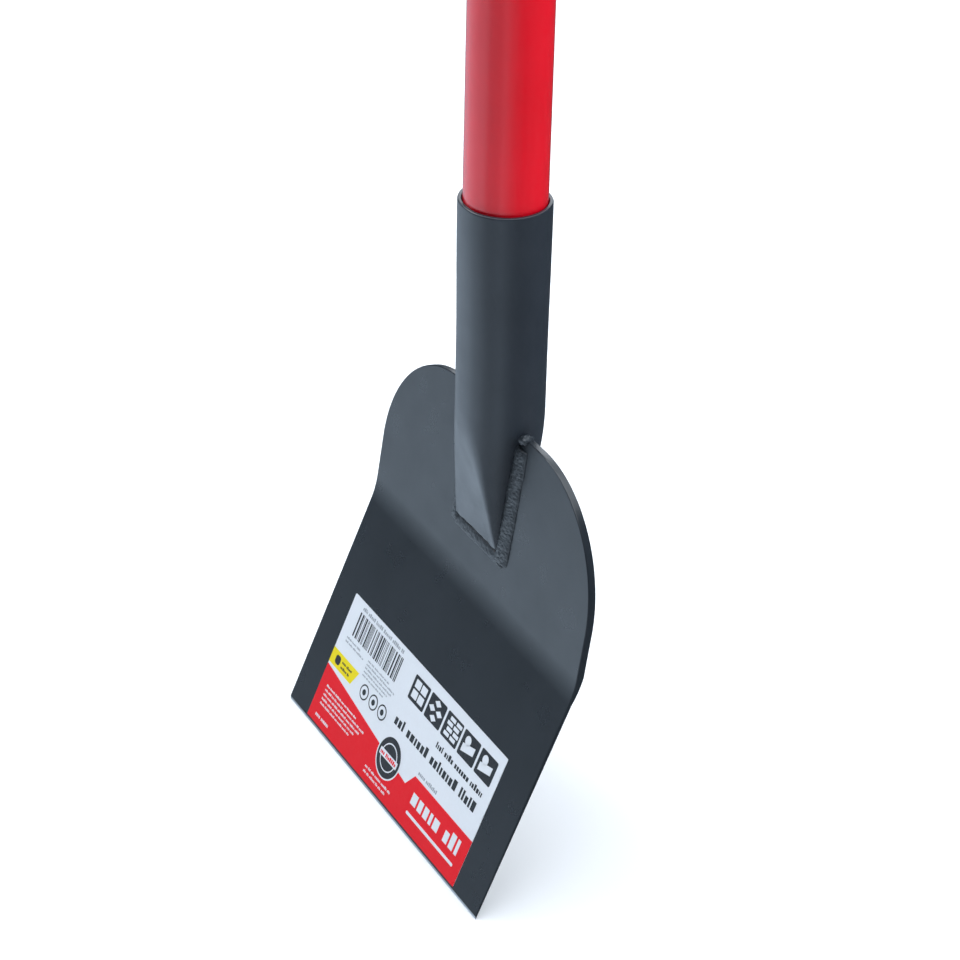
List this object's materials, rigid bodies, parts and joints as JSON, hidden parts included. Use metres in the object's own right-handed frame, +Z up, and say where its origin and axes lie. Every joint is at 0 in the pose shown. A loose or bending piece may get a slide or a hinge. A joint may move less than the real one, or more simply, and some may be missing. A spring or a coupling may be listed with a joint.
{
  "type": "floor scraper",
  "caption": "Long-handled floor scraper: a wide bent steel blade welded to a tubular socket, a riveted tube handle with a soft grip, and a hang-up end cap.",
  "frame": {"origin": "middle of the blade's cutting edge", "axes": "+Z runs up along the handle, -Y is the side the label faces, +X runs along the cutting edge"},
  "size_m": [0.1524, 0.0647, 1.2192],
  "materials": {
    "blade_paint": "satin",
    "label_film": "satin",
    "socket_paint": "satin",
    "weld_paint": "rough",
    "handle_paint": "gloss",
    "rivet_paint": "satin",
    "mandrel_steel": "satin",
    "grip_rubber": "matt",
    "cap_plastic": "matt"
  },
  "bodies": {
    "root": {"blade": "blade_paint", "label": "label_film", "socket": "socket_paint", "weld_front_left": "weld_paint", "weld_front_right": "weld_paint", "weld_front_toe": "weld_paint", "weld_back_left": "weld_paint", "weld_back_right": "weld_paint", "weld_back_toe": "weld_paint", "handle_tube": "handle_paint", "rivet_bodies": "rivet_paint", "rivet_mandrels": "mandrel_steel", "grip_sleeve": "grip_rubber", "end_cap": "cap_plastic"}
  },
  "joints": []
}
